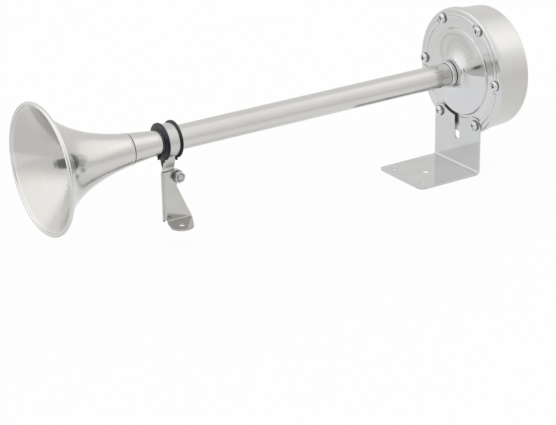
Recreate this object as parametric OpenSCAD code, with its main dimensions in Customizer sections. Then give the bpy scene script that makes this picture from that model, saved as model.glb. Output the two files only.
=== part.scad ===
// Car air horn: a long straight trumpet on a round diaphragm drum, with a folded foot
// under the drum and a rubber-lined clamp with a smaller foot near the bell.
// Frame: X runs along the horn and away from the bell, Z is up. The origin is on the
// underside of the rear foot, midway between its two bolt holes.

/* [Trumpet] */
// Height of the horn's centre line above the rear foot's underside
axis_h = 81.1; // [75:0.1:95]
// Outside radius of the tube
tube_r = 9.5; // [9:0.1:10.5]
// Wall of the tube
tube_wall = 1; // [0.8:0.1:1.5]
// Length of tube that shows between the drum's neck and the bell
tube_len = 298.5; // [280:0.5:340]
// Outside radius of the tube's widened end, level with the bell's throat
tube_shoulder_r = 11.9; // [11.2:0.1:12]
// Length of that widened end that shows beside the bell
tube_shoulder_len = 1; // [0.5:0.5:3]
// Length of the cone between the tube's straight run and its widened end
tube_cone_len = 21; // [12:1:26]
// Open seam between the bell and the tube's shoulder
seam_w = 0.5; // [0.2:0.1:0.8]
// Length of tube inside the bell's throat
bell_lap = 5; // [3:0.5:8]
// Outside radius of the bell at its throat
bell_throat_r = 12.2; // [12.1:0.1:13]
// Height of the lip round the bell's throat
lip_h = 0.25; // [0.1:0.05:0.4]
// Width of the lip round the bell's throat
lip_w = 1.8; // [1.2:0.1:3]
// Radius of the circle that the rolled rim follows
bell_mouth_r = 48.4; // [42:0.1:56]
// Length of the bell from its throat to the rim's centre
bell_len = 70.6; // [60:0.1:85]
// Opening rate at the throat, as the share that the radius gains in each millimetre
bell_rate = 0.0119; // [0.008:0.0001:0.015]
// Sheet of the bell
bell_wall = 1.1; // [0.9:0.1:1.3]
// Radius of the rolled rim
rim_r = 1.6; // [1.3:0.1:2.2]
// Outside radius of the collar on the tube
collar_r = 10.9; // [10.6:0.1:12]
// Length of the collar
collar_len = 4; // [3:0.5:6]
// Rounding of the collar's edges
collar_round = 0.9; // [0.4:0.1:1.1]
// Bare tube between the collar and the neck
collar_gap = 0.2; // [0.2:0.1:3]

/* [Front cover] */
// Outside radius of the cover's skirt
cover_r = 52.6; // [50:0.1:56]
// Sheet of the cover
cover_wall = 1.2; // [1:0.1:1.4]
// Length of the skirt, from the screw seat to its edge
skirt_len = 4.9; // [4:0.1:8]
// Outside radius of the bend into the skirt
skirt_bend_r = 2.6; // [2:0.1:3]
// Outside radius of the neck
neck_r = 11.3; // [11:0.1:12.5]
// Height of the neck's lip above the screw seat
neck_h = 10.3; // [9:0.1:14]
// Length of the neck's straight part
neck_straight = 2.6; // [1:0.1:4]
// Length of tube inside the neck
neck_lap = 8; // [5:0.5:9]
// How straight the flare from the neck to the disc's edge runs: 1 is a quarter ellipse, 2 a cone
flare_power = 1.18; // [1:0.01:1.4]
// Distance from the screw circle in to the edge of the raised disc
disc_step = 10; // [9:0.2:12]
// Height of the raised disc above the screw seat
disc_h = 1.5; // [1.3:0.1:3]
// Rounding of the disc's edge
disc_round = 1.2; // [0.6:0.1:1.5]
// How far the foot of the disc's step slopes out
disc_draft = 0.3; // [0.1:0.1:0.6]
// Width of the ring bead on the screw circle
bead_w = 4.2; // [3:0.2:5]
// Height of the ring bead
bead_h = 1; // [0.8:0.1:1.4]
// Sheet left at each side of the bead
bead_side = 0.8; // [0.6:0.1:1]
// Radius of the flat pad round each screw
pad_r = 6.6; // [6:0.1:7.5]

/* [Cover screws] */
// Number of screws round the cover
screw_count = 6; // [6:1:6]
// Distance of the screw circle from the skirt's outside
screw_edge = 6.6; // [6.2:0.1:7]
// Shank radius of a screw
screw_r = 2; // [1.6:0.1:2.2]
// Length of a screw under its washer
screw_len = 10.4; // [9.8:0.1:12]
// Head radius of a screw
screw_head_r = 4.2; // [3.8:0.1:4.6]
// Head height of a screw
screw_head_h = 2.2; // [1.8:0.1:3]
// Outside radius of a lock washer
lock_r = 4.3; // [3.8:0.1:4.8]
// Thickness of a lock washer
lock_t = 0.8; // [0.6:0.1:1.2]
// Split in a lock washer
lock_split = 0.8; // [0.6:0.1:1.2]

/* [Rear can] */
// Depth of the drum behind the screw seat
can_depth = 33; // [32:0.1:40]
// How much the can's radius draws in from front to back
can_taper = 1.4; // [0:0.1:2]
// Outside radius of the can's back edge
can_edge_r = 4.2; // [3:0.1:6]
// Wall of the can
can_wall = 1.2; // [1:0.1:1.4]
// Radius of the dish pressed into the back, as a share of the back's
dish_share = 0.541; // [0.52:0.001:0.56]
// Depth of that dish
dish_depth = 2.5; // [1.5:0.1:3]
// Radial width of the slope round the dish
dish_slope = 2; // [1.5:0.1:3]
// How much wider the dish is on the can's inside
dish_side = 0.7; // [0.5:0.1:1]

/* [Diaphragm stack] */
// Thickness of each gasket
gasket_t = 0.8; // [0.6:0.1:1]
// Distance from the screw circle in to the gaskets' inner edge
gasket_in = 5.5; // [4:0.1:6]
// Thickness of the diaphragm
diaphragm_t = 0.4; // [0.3:0.05:0.6]
// Thickness of the tapped ring in the can
ring_t = 4; // [3:0.5:5]
// Distance from the screw circle in to the tapped ring's inner edge
ring_in = 4; // [3.5:0.1:4.5]

/* [Electromagnet] */
// Radius of the armature's plunger and of the pole, as a share of the yoke pot's
plunger_share = 0.345; // [0.3:0.005:0.36]
// Length of the plunger
plunger_len = 11.8; // [10:0.1:12]
// Thickness of the armature's head
armature_t = 2.5; // [2:0.1:3]
// Air gap between plunger and pole
air_gap = 0.7; // [0.5:0.1:1.2]
// Radius of the stud through the diaphragm
stud_r = 2.5; // [2:0.1:3]
// Outside radius of the washer on the diaphragm
stud_washer_r = 7; // [6:0.1:8]
// Thickness of the washer on the diaphragm
stud_washer_t = 0.8; // [0.6:0.1:1]
// Width across the flats of the armature nut
stud_nut_af = 8; // [7:0.5:9]
// Thickness of the armature nut
stud_nut_t = 2.4; // [2:0.1:2.6]
// Distance from the dish's edge in to the yoke pot and the armature's head
yoke_in = 4.4; // [4:0.1:6]
// Wall of the yoke pot
yoke_wall = 2.2; // [1.8:0.1:2.6]
// Length of the yoke pot
yoke_len = 15.6; // [14:0.1:16]
// Radius of the pole's screwed end
pole_end_r = 4; // [3:0.1:5]
// Length of the pole's screwed end behind the yoke
pole_end_len = 7; // [6:0.5:9]
// Wall of the bobbin
bobbin_wall = 1; // [0.8:0.1:1.2]
// Free room between the plunger and the bobbin
bobbin_gap = 0.5; // [0.3:0.1:0.8]
// Free room between the winding and the yoke's wall
winding_gap = 1.7; // [1:0.1:3]
// Width across the flats of the core nut
core_nut_af = 13; // [12:0.5:17]
// Thickness of the core nut
core_nut_t = 4; // [3:0.5:5]
// Chamfer of the nuts' corners
nut_chamfer = 0.6; // [0.3:0.1:0.8]

/* [Contacts] */
// Distance of the contact stack from the outside of the can's back
stack_in = 13.4; // [13:0.1:14.4]
// Size of the stack along its arms
stack_d = 8; // [7:0.1:9]
// Width of the stack and its arms
stack_w = 12; // [10:0.5:14]
// Thickness of the moving contact arm
moving_arm_t = 0.5; // [0.4:0.05:0.6]
// Thickness of the fixed contact arm
fixed_arm_t = 0.8; // [0.6:0.1:1]
// Free room between the moving arm and the yoke pot's level
arm_lift = 1; // [0.6:0.1:1.4]
// Thickness of the spacer between the arms
arm_gap = 2.2; // [2:0.1:2.4]
// Distance from the contact stack to the contacts
contact_reach = 7.5; // [6.5:0.1:8.5]
// Radius of a contact
contact_r = 2; // [1.5:0.1:2.4]
// Distance of the pusher from the edge of the armature's head
pusher_in = 2.5; // [2:0.1:3.5]
// Radius of the pusher
pusher_r = 1.6; // [1.2:0.1:2]
// How far each arm reaches past its contact or pusher
arm_end = 0.5; // [0.3:0.1:1]
// Shank radius of a contact rivet
rivet_r = 1.4; // [1:0.1:1.6]
// Head radius of a contact rivet
rivet_head_r = 2.5; // [2.2:0.1:3]
// Head height of a contact rivet
rivet_head_t = 1; // [0.8:0.1:1.2]
// Depth of a rivet in the contact base
rivet_depth = 10; // [8:1:12]
// Radius of the adjuster screw
adjuster_r = 1.9; // [1.5:0.1:2.1]
// Sideways distance of the adjuster screw
adjuster_y = 10; // [9:0.1:11]
// Metal round the adjuster's tip on the fixed arm's side tab
adjuster_rim = 1; // [0.8:0.1:1.4]
// Width and depth of the slot in the adjuster's end
adjuster_slot = 0.8; // [0.6:0.1:1]
// How far the adjuster screw stands out of the back
adjuster_out = 5; // [4:0.5:8]
// Width across the flats of the adjuster's lock nut
adjuster_nut_af = 7; // [6:0.5:8]
// Thickness of the adjuster's lock nut
adjuster_nut_t = 2.4; // [2:0.1:3]

/* [Lead grommet] */
// Radius of the grommet's bore
grommet_bore_r = 3; // [2.5:0.1:3.5]
// Radius of the hole in the can for the grommet
grommet_hole_r = 4.6; // [4.2:0.1:5]
// Outside radius of the grommet's collars
grommet_r = 6.5; // [6:0.1:7]
// Thickness of each collar
grommet_t = 2; // [1.5:0.1:2.5]
// Slope at the outer collar's edge
grommet_slope = 1; // [0.5:0.1:1.5]
// Distance of the grommet from the outside of the can's back
grommet_in = 12.5; // [11:0.1:13]

/* [Rear bracket] */
// Distance from the two lowest screws out to the bracket's side edges
foot_side = 6.2; // [5:0.1:8]
// Sheet of the bracket
foot_t = 1.4; // [1.2:0.1:2.5]
// Inside radius of the fold
foot_bend_r = 2; // [1:0.1:3]
// Length of the foot in front of the bolt holes
foot_nose = 9.3; // [7:0.1:12]
// Distance from the bolt holes to the drum's screw seat
foot_reach = 50.6; // [46:0.1:60]
// Spacing of the two bolt holes
foot_hole_gap = 40; // [36:0.5:42]
// Radius of the two bolt holes
foot_hole_r = 2.5; // [2:0.1:3]
// Radius of the large hole
big_hole_r = 3.4; // [3:0.1:4.5]
// Distance from the bolt holes to the large hole
big_hole_x = 17.4; // [14:0.1:20]
// Corner radius of the foot
foot_corner_r = 5; // [4:0.5:7]
// Clear gap between the raised disc and the bracket's upper edge
ear_gap = 2.4; // [1.5:0.1:3]
// Width of the open slot
slot_w = 6.4; // [4:0.1:8]
// Distance of the slot's end below the horn's centre line
slot_depth = 58.2; // [52:0.1:64]

/* [Clamp] */
// Distance from the bell's throat to the clamp's middle
clamp_gap = 33.3; // [30:0.1:60]
// Width of the clamp band
band_w = 9.6; // [8:0.1:12]
// Sheet of the clamp band
band_t = 1; // [0.8:0.1:1.2]
// Thickness of the rubber under the band
liner_t = 2.2; // [1.8:0.1:2.6]
// Height of the rubber flanges above the rubber's floor
liner_flange_h = 2.6; // [1.6:0.1:3]
// Thickness of the rubber flanges
liner_flange_t = 1.3; // [1:0.1:1.8]
// Half angle of the liner's open gap
liner_gap_deg = 18; // [16:1:26]
// How far the flanges' ends hang down beside the band's legs
liner_tail = 1.8; // [0.5:0.1:2.4]
// Width of those ends
liner_tail_w = 1.1; // [0.8:0.1:1.1]
// Half angle where the band's legs leave the round
leg_deg = 19; // [16:1:24]
// Distance below the centre line where the legs meet
leg_meet = 21.5; // [20:0.1:22.2]
// Distance of the bolt below the centre line
bolt_z = 29.1; // [28:0.1:31]
// How far the bolt stands towards the drum from the clamp's middle
bolt_side = 6.5; // [4:0.1:6.6]
// Radius of the rounded end of the legs
tab_r = 4.6; // [4:0.1:4.7]
// How much narrower the legs are where the front bracket lies on them
tab_inset = 1.2; // [1:0.1:1.6]

/* [Clamp bolt] */
// Shank radius of the clamp bolt
bolt_r = 2.45; // [2:0.05:2.5]
// Head radius of the clamp bolt
bolt_head_r = 4.6; // [4:0.1:5]
// Head height of the clamp bolt
bolt_head_h = 3.4; // [2.5:0.1:4]
// How far the clamp bolt stands out of its nut
bolt_out = 1; // [0.8:0.1:3]
// Chamfer at the bolt's end
bolt_chamfer = 0.6; // [0.3:0.1:0.8]
// Outside radius of the clamp washer
washer_r = 4.6; // [4.4:0.1:5.5]
// Thickness of the clamp washer
washer_t = 0.8; // [0.6:0.1:1.2]
// Width across the flats of the clamp nut
nut_af = 8; // [7.5:0.1:9]
// Thickness of the clamp nut
nut_t = 3.6; // [3:0.1:5]
// Turn of the clamp nut on its bolt
nut_turn = 12; // [0:1:30]

/* [Front bracket] */
// Sheet of the front bracket
plate_t = 1.5; // [1.2:0.1:2]
// Height of the front foot's underside above the rear foot's
front_foot_h = 15.6; // [8:0.1:20]
// Radius of the ear round the bolt, level with the plate's top edge
ear_r = 4.8; // [4.8:0.1:5.5]
// Distance of the neck under the ear below the bolt
plate_neck_z = 7.4; // [6:0.1:12]
// How far that neck stands towards the bell from the bolt
plate_neck_x = 1.2; // [0:0.1:2]
// How far the plate's foot line reaches beyond the bolt
plate_toe = 10.7; // [10:0.1:16]
// Depth of the side flange behind the plate's front face
side_flange = 3.6; // [3.2:0.1:6]
// Height of the side flange's lower edge above the foot's underside
side_lift = 1; // [0.5:0.1:2]
// Free room between the side flange and the legs
side_play = 0.7; // [0.4:0.1:1]
// Outside radius of the two folds
plate_bend_r = 2.5; // [2.2:0.1:3]
// Distance from the plate's front face to the middle of the foot's round end
tab_reach = 11.1; // [10:0.1:16]
// Radius of the foot's round end
foot_end_r = 9; // [8:0.1:10]
// How far the foot's round end stands towards the bell from the bolt
end_shift = 4.1; // [2:0.1:5]
// Radius of the front foot's hole
front_hole_r = 2.75; // [2:0.05:3.5]

/* [Hidden] */
$fn = 96;

// Clearances
braze_gap = 0.1;
slip = 0.1;
hole_gap = 0.3;
seat_gap = 0.05;
past = 1;

// Steps along a curved profile
flare_steps = 28;
arc_steps = 10;
rim_steps = 32;

// Pan heads: shares of the height that is a straight edge and of the radius that is flat on top
head_edge = 0.3;
head_flat = 0.35;

// Places along the horn, measured from the screw seat, bell at the minus side
neck_x = -neck_h;
bell_x = neck_x - tube_len;
clamp_mid_x = bell_x + clamp_gap;
bolt_x = clamp_mid_x + bolt_side;

// Bell profile
bell_growth = (ln(bell_mouth_r / bell_throat_r) - bell_rate * bell_len) / (bell_len * bell_len);
function bell_r(s) = bell_throat_r * exp(bell_rate * s + bell_growth * s * s);
function bell_slope(s) = bell_r(s) * (bell_rate + 2 * bell_growth * s);
function bell_len_scale(s) = sqrt(1 + bell_slope(s) * bell_slope(s));
function bell_inner_r(s) = bell_r(s) - bell_wall / bell_len_scale(s);
function bell_inner_s(s) = s + bell_wall * bell_slope(s) / bell_len_scale(s);

// Trumpet
tube_end_r = bell_throat_r - bell_wall - braze_gap;
shoulder_x = bell_x + seam_w;
cone_x = shoulder_x + tube_shoulder_len;

// Drum
screw_circle_r = cover_r - screw_edge;
disc_r = screw_circle_r - disc_step;
flare_r = disc_r - disc_round;
gasket_r = screw_circle_r - gasket_in;
ring_in_r = screw_circle_r - ring_in;
can_front_r = cover_r - cover_wall - slip;
can_back_r = can_front_r - can_taper;
can_front_x = skirt_bend_r + seat_gap;
can_in_r = can_front_r - can_wall;
gasket_x = cover_wall;
diaphragm_x = gasket_x + gasket_t;
rear_gasket_x = diaphragm_x + diaphragm_t;
ring_x = rear_gasket_x + gasket_t;
ring_back_x = ring_x + ring_t;
can_lean = can_taper / (can_depth - can_edge_r - can_front_x);
stack_r = can_in_r - can_lean * (ring_back_x - can_front_x) - braze_gap;
back_in_x = can_depth - can_wall;
dish_in_x = back_in_x - dish_depth;
dish_r = can_back_r * dish_share;
screw_hole_r = screw_r + hole_gap;
foot_screw_a = 180 / screw_count;
foot_w = 2 * (screw_circle_r * sin(foot_screw_a) + foot_side);
grommet_z = can_back_r - grommet_in;

// Electromagnet, measured the same way
yoke_r = dish_r - yoke_in;
plunger_r = yoke_r * plunger_share;
armature_r = yoke_r;
winding_r = yoke_r - yoke_wall - winding_gap;
armature_x = rear_gasket_x;
plunger_x = armature_x + armature_t;
pole_x = plunger_x + plunger_len + air_gap;
yoke_x = dish_in_x - yoke_len;
yoke_floor_x = dish_in_x - yoke_wall;
bobbin_bore_r = plunger_r + bobbin_gap;
bobbin_r = yoke_r - yoke_wall - hole_gap;
bobbin_x = yoke_x + bobbin_wall;
bobbin_end_x = yoke_floor_x;

// Contact stack
stack_z = can_back_r - stack_in;
contact_z = stack_z - contact_reach;
pusher_z = armature_r - pusher_in;
moving_arm_x = yoke_x - arm_lift - moving_arm_t;
fixed_arm_x = moving_arm_x - arm_gap - fixed_arm_t;
pusher_x = plunger_x + hole_gap;

// Clamp
liner_in_r = tube_r + slip;
liner_floor_r = liner_in_r + liner_t;
band_in_r = liner_floor_r + seat_gap;
band_out_r = band_in_r + band_t;
liner_w = band_w + 2 * (liner_flange_t + seat_gap);
liner_out_r = liner_floor_r + liner_flange_h;
leg_gap = seat_gap / 2;
leg_face = leg_gap + band_t;
bolt_hole_r = bolt_r + hole_gap;

// Front bracket: the plate's back lies on the near leg
plate_back = leg_face + seat_gap;
plate_front = plate_back + plate_t;
side_x = clamp_mid_x - band_w / 2 + tab_inset - side_play - plate_t;
plate_top_z = -bolt_z + ear_r;
legs_top_z = plate_top_z + hole_gap;
front_under_z = front_foot_h - axis_h;
nut_face = plate_front + washer_t;

module at_seat(x = 0) {
    translate([foot_reach + x, 0, axis_h]) rotate([0, 90, 0]) children();
}

module ring(inner, outer, height) {
    difference() {
        cylinder(r = outer, h = height);
        translate([0, 0, -past]) cylinder(r = inner, h = height + 2 * past);
    }
}

// Quarter of a ring, from straight out at +x to straight down at -y
module bend(inner, outer, width) {
    intersection() {
        ring(inner, outer, width);
        translate([0, -outer, 0]) cube([outer, outer, width]);
    }
}

// Screws are counted from straight down towards the near side
module at_screw(i) {
    rotate([0, 0, -foot_screw_a - i * 360 / screw_count]) translate([screw_circle_r, 0, 0]) children();
}

module at_screws() {
    for (i = [0 : screw_count - 1]) at_screw(i) children();
}

module hex_nut(af, height, bore) {
    corner = af / 2 / cos(30);
    slope = nut_chamfer * tan(30);
    difference() {
        intersection() {
            cylinder(r = corner, h = height, $fn = 6);
            rotate_extrude() polygon([
                [0, 0],
                [corner - nut_chamfer, 0],
                [corner, slope],
                [corner, height - slope],
                [corner - nut_chamfer, height],
                [0, height]
            ]);
        }
        translate([0, 0, -past]) cylinder(r = bore, h = height + 2 * past);
    }
}

module pan_head(radius, height) {
    rotate_extrude() polygon(concat(
        [[0, 0], [radius, 0], [radius, height * head_edge]],
        [for (i = [1 : arc_steps])
            let (t = 90 * i / arc_steps)
            [radius * (head_flat + (1 - head_flat) * cos(t)),
             height * (head_edge + (1 - head_edge) * sin(t))]],
        [[0, height]]
    ));
}

module bell() {
    lip = [[bell_throat_r + lip_h, 0], [bell_throat_r + lip_h, -lip_w / 2], [bell_r(lip_w), -lip_w]];
    outer = [for (i = [1 : flare_steps]) let (s = bell_len * i / flare_steps) [bell_r(s), -s]];
    inner = [for (i = [flare_steps : -1 : 1])
        let (s = bell_len * i / flare_steps) [bell_inner_r(s), -bell_inner_s(s)]];
    color([0.78, 0.77, 0.75]) at_seat(bell_x) union() {
        rotate_extrude() polygon(concat(
            lip, outer, inner, [[bell_throat_r - bell_wall, 0]]
        ));
        translate([0, 0, -bell_len]) rotate_extrude() translate([bell_mouth_r, 0])
            circle(r = rim_r, $fn = rim_steps);
    }
}

module tube() {
    color([0.80, 0.79, 0.77]) at_seat() rotate_extrude() polygon([
        [tube_end_r, bell_x - bell_lap],
        [tube_end_r, shoulder_x],
        [tube_shoulder_r, shoulder_x],
        [tube_shoulder_r, cone_x],
        [tube_r, cone_x + tube_cone_len],
        [tube_r, neck_x + neck_lap],
        [tube_r - tube_wall, neck_x + neck_lap],
        [tube_r - tube_wall, cone_x + tube_cone_len],
        [tube_shoulder_r - tube_wall, cone_x],
        [tube_end_r - tube_wall, bell_x],
        [tube_end_r - tube_wall, bell_x - bell_lap]
    ]);
}

module tube_collar() {
    flat_r = collar_r - collar_round;
    color([0.86, 0.86, 0.85]) at_seat(neck_x - collar_gap - collar_len) rotate_extrude() polygon(concat(
        [[tube_r + braze_gap, 0], [flat_r, 0]],
        [for (i = [1 : arc_steps]) let (t = 90 * i / arc_steps)
            [flat_r + collar_round * sin(t), collar_round * (1 - cos(t))]],
        [for (i = [0 : arc_steps]) let (t = 90 * i / arc_steps)
            [flat_r + collar_round * cos(t), collar_len - collar_round * (1 - sin(t))]],
        [[tube_r + braze_gap, collar_len]]
    ));
}

module gap_wedge(half_angle, reach, depth) {
    linear_extrude(height = depth) polygon([
        [0, 0],
        [reach, reach * tan(half_angle)],
        [reach, -reach * tan(half_angle)]
    ]);
}

module clamp_liner() {
    tail_y = (liner_in_r + liner_t / 2) * sin(liner_gap_deg) + liner_tail_w / 2;
    tail_len = liner_out_r * cos(liner_gap_deg) + liner_tail - liner_in_r;
    color([0.16, 0.18, 0.21]) at_seat(clamp_mid_x - liner_w / 2) union() {
        difference() {
            union() {
                cylinder(r = liner_floor_r, h = liner_w);
                cylinder(r = liner_out_r, h = liner_flange_t);
                translate([0, 0, liner_w - liner_flange_t]) cylinder(r = liner_out_r, h = liner_flange_t);
            }
            translate([0, 0, -past]) cylinder(r = liner_in_r, h = liner_w + 2 * past);
            translate([0, 0, -past]) gap_wedge(liner_gap_deg, 2 * liner_out_r, liner_w + 2 * past);
        }
        for (side = [-1, 1], end = [0, liner_w - liner_flange_t])
            translate([liner_in_r, side * tail_y - liner_tail_w / 2, end])
                cube([tail_len, liner_tail_w, liner_flange_t]);
    }
}

// One leg of the band as a strip seen along the horn: first value down, second value sideways
module leg_strip() {
    top_out = [band_out_r * cos(leg_deg), band_out_r * sin(leg_deg)];
    top_in = [band_in_r * cos(leg_deg), band_in_r * sin(leg_deg)];
    polygon([
        top_in,
        top_out,
        [leg_meet, leg_face],
        [bolt_z, leg_face],
        [bolt_z, leg_gap],
        [leg_meet, leg_gap]
    ]);
}

// On the clamp bolt's line, at a distance to the far side, working towards the near side
module at_bolt(y) {
    translate([foot_reach + bolt_x, y, axis_h - bolt_z]) rotate([90, 0, 0]) children();
}

// The legs' end seen from the side: x along the horn, y is height
module tab_outline() {
    union() {
        translate([clamp_mid_x - band_w / 2 + tab_inset, -bolt_z - tab_r])
            square([band_w - tab_inset, tab_r + bolt_z + legs_top_z + band_t]);
        translate([bolt_x, -bolt_z]) circle(r = tab_r);
        translate([clamp_mid_x, -bolt_z - tab_r]) square([bolt_side, tab_r]);
    }
}

module clamp_band() {
    color([0.80, 0.79, 0.77]) difference() {
        union() {
            at_seat(clamp_mid_x - band_w / 2) difference() {
                ring(band_in_r, band_out_r, band_w);
                translate([0, 0, -past]) gap_wedge(leg_deg, 2 * band_out_r, band_w + 2 * past);
            }
            intersection() {
                at_seat(clamp_mid_x - band_w / 2) linear_extrude(height = band_w) union() {
                    leg_strip();
                    mirror([0, 1]) leg_strip();
                }
                translate([foot_reach + clamp_mid_x - band_w, -band_out_r, axis_h + legs_top_z])
                    cube([2 * band_w, 2 * band_out_r, bolt_z]);
            }
            for (side = [-1, 1])
                translate([foot_reach, side * (leg_gap + band_t / 2) + band_t / 2, axis_h])
                    rotate([90, 0, 0]) linear_extrude(height = band_t) tab_outline();
        }
        at_bolt(leg_face + past) cylinder(r = bolt_hole_r, h = 2 * (leg_face + past));
    }
}

module front_bracket() {
    end_x = bolt_x - end_shift;
    end_y = -plate_front - tab_reach;
    inner_r = plate_bend_r - plate_t;
    plate_x = side_x + plate_bend_r;
    toe_x = bolt_x + plate_toe;
    fold_z = front_under_z + plate_bend_r;
    side_z = front_under_z + side_lift;
    foot_y = -plate_front - inner_r;
    toe_run = [toe_x - end_x, foot_y - end_y];
    tangent_a = atan2(toe_run[1], toe_run[0]) - acos(foot_end_r / norm(toe_run));
    color([0.74, 0.74, 0.72]) translate([foot_reach, 0, axis_h]) difference() {
        union() {
            // upright plate with its ear
            translate([0, -plate_back, 0]) rotate([90, 0, 0]) linear_extrude(height = plate_t) union() {
                polygon([
                    [plate_x, plate_top_z],
                    [bolt_x, plate_top_z],
                    [bolt_x, -bolt_z - ear_r],
                    [bolt_x - plate_neck_x, -bolt_z - plate_neck_z],
                    [toe_x, fold_z],
                    [plate_x, fold_z]
                ]);
                translate([bolt_x, -bolt_z]) circle(r = ear_r);
            }
            // side fold and flange
            translate([plate_x, -plate_front + plate_bend_r, fold_z]) rotate([0, 0, -90])
                bend(inner_r, plate_bend_r, plate_top_z - fold_z);
            translate([side_x, -plate_front + plate_bend_r, side_z])
                cube([plate_t, side_flange - plate_bend_r, plate_top_z - side_z]);
            // fold into the foot
            translate([plate_x, foot_y, fold_z]) rotate([0, 90, 0]) rotate([0, 0, 90])
                bend(inner_r, plate_bend_r, toe_x - plate_x);
            // foot
            translate([0, 0, front_under_z]) linear_extrude(height = plate_t) union() {
                translate([end_x, end_y]) circle(r = foot_end_r);
                polygon([
                    [side_x + plate_t, foot_y],
                    [toe_x, foot_y],
                    [end_x + foot_end_r * cos(tangent_a), end_y + foot_end_r * sin(tangent_a)],
                    [end_x, end_y],
                    [end_x - foot_end_r, end_y]
                ]);
            }
        }
        translate([bolt_x, past - plate_back, -bolt_z]) rotate([90, 0, 0])
            cylinder(r = bolt_hole_r, h = plate_t + 2 * past);
        translate([end_x, end_y, front_under_z - past]) cylinder(r = front_hole_r, h = plate_t + 2 * past);
    }
}

module clamp_bolt() {
    plain_len = leg_face + nut_face + nut_t + bolt_out - bolt_chamfer;
    color([0.72, 0.73, 0.75]) at_bolt(leg_face) union() {
        cylinder(r = bolt_r, h = plain_len);
        translate([0, 0, plain_len]) cylinder(r1 = bolt_r, r2 = bolt_r - bolt_chamfer, h = bolt_chamfer);
        rotate([180, 0, 0]) pan_head(bolt_head_r, bolt_head_h);
    }
}

module clamp_washer() {
    color([0.76, 0.77, 0.78]) at_bolt(-plate_front) ring(bolt_hole_r, washer_r, washer_t);
}

module clamp_nut() {
    color([0.72, 0.73, 0.75]) at_bolt(-nut_face) rotate([0, 0, nut_turn])
        hex_nut(nut_af, nut_t, bolt_r + slip);
}

// A point of the flare from a radius at the neck's straight part to a level at the disc's edge
function flare_pt(t, radius, level) = [
    flare_r - (flare_r - radius) * pow(cos(t), flare_power),
    neck_x + neck_straight + (level - neck_x - neck_straight) * pow(sin(t), flare_power)
];

module cover_sheet() {
    front = concat(
        [[neck_r, neck_x]],
        [for (i = [0 : 2 * arc_steps]) flare_pt(90 * i / (2 * arc_steps), neck_r, -disc_h)],
        [for (i = [1 : arc_steps]) let (t = 90 * i / arc_steps)
            [flare_r + disc_round * sin(t), -disc_h + disc_round * (1 - cos(t))]],
        [[disc_r + disc_draft, 0]],
        [for (i = [0 : 2 * arc_steps]) let (t = 90 * i / arc_steps)
            [screw_circle_r - bead_w / 2 * cos(t), -bead_h * sin(t)]],
        [for (i = [0 : arc_steps]) let (t = 90 * i / arc_steps)
            [cover_r - skirt_bend_r + skirt_bend_r * sin(t), skirt_bend_r - skirt_bend_r * cos(t)]],
        [[cover_r, skirt_len]]
    );
    inner_bend = skirt_bend_r - cover_wall;
    back = concat(
        [[cover_r - cover_wall, skirt_len]],
        [for (i = [arc_steps : -1 : 0]) let (t = 90 * i / arc_steps)
            [cover_r - skirt_bend_r + inner_bend * sin(t), skirt_bend_r - inner_bend * cos(t)]],
        [for (i = [2 * arc_steps : -1 : 0]) let (t = 90 * i / arc_steps)
            [screw_circle_r - (bead_w / 2 - bead_side) * cos(t), cover_wall - bead_h * sin(t)]],
        [[flare_r, cover_wall], [flare_r, cover_wall - disc_h]],
        [for (i = [2 * arc_steps - 1 : -1 : 0])
            flare_pt(90 * i / (2 * arc_steps), tube_r + slip, cover_wall - disc_h)],
        [[tube_r + slip, neck_x]]
    );
    rotate_extrude() polygon(concat(front, back));
}

module front_cover() {
    step_r = disc_r + disc_draft;
    color([0.82, 0.83, 0.84]) at_seat() difference() {
        union() {
            cover_sheet();
            at_screws() intersection() {
                cylinder(r = pad_r, h = cover_wall);
                translate([-screw_circle_r, 0, 0]) cylinder(r = cover_r - skirt_bend_r, h = cover_wall);
            }
        }
        at_screws() {
            translate([0, 0, -2 * bead_h]) difference() {
                cylinder(r = pad_r, h = 2 * bead_h);
                translate([-screw_circle_r, 0, -past]) cylinder(r = step_r, h = 2 * (bead_h + past));
            }
            translate([0, 0, -past]) cylinder(r = screw_hole_r, h = cover_wall + 2 * past);
        }
        // the bead stops where the rear bracket lies on the cover
        translate([0, 0, -2 * bead_h]) intersection() {
            difference() {
                cylinder(r = cover_r, h = 2 * bead_h);
                translate([0, 0, -past]) cylinder(r = step_r, h = 2 * (bead_h + past));
            }
            gap_wedge(foot_screw_a, 2 * cover_r, 2 * bead_h);
        }
    }
}

module rear_can() {
    edge_mid_r = can_back_r - can_edge_r;
    edge_mid_x = can_depth - can_edge_r;
    edge_in_r = can_edge_r - can_wall;
    hole_l = can_wall + 2 * past;
    color([0.79, 0.78, 0.76]) at_seat() difference() {
        rotate_extrude() polygon(concat(
            [[can_front_r, can_front_x]],
            [for (i = [0 : arc_steps]) let (t = 90 * i / arc_steps)
                [edge_mid_r + can_edge_r * cos(t), edge_mid_x + can_edge_r * sin(t)]],
            [
                [dish_r, can_depth],
                [dish_r - dish_slope, can_depth - dish_depth],
                [0, can_depth - dish_depth],
                [0, dish_in_x],
                [dish_r - dish_slope + dish_side, dish_in_x],
                [dish_r + dish_side, back_in_x]
            ],
            [for (i = [arc_steps : -1 : 0]) let (t = 90 * i / arc_steps)
                [edge_mid_r + edge_in_r * cos(t), edge_mid_x + edge_in_r * sin(t)]],
            [[can_in_r, can_front_x]]
        ));
        translate([0, 0, dish_in_x - past]) cylinder(r = pole_end_r + hole_gap, h = hole_l);
        translate([-stack_z, adjuster_y, back_in_x - past]) cylinder(r = adjuster_r + slip, h = hole_l);
        translate([grommet_z, 0, back_in_x - past]) cylinder(r = grommet_hole_r, h = hole_l);
    }
}

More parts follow.
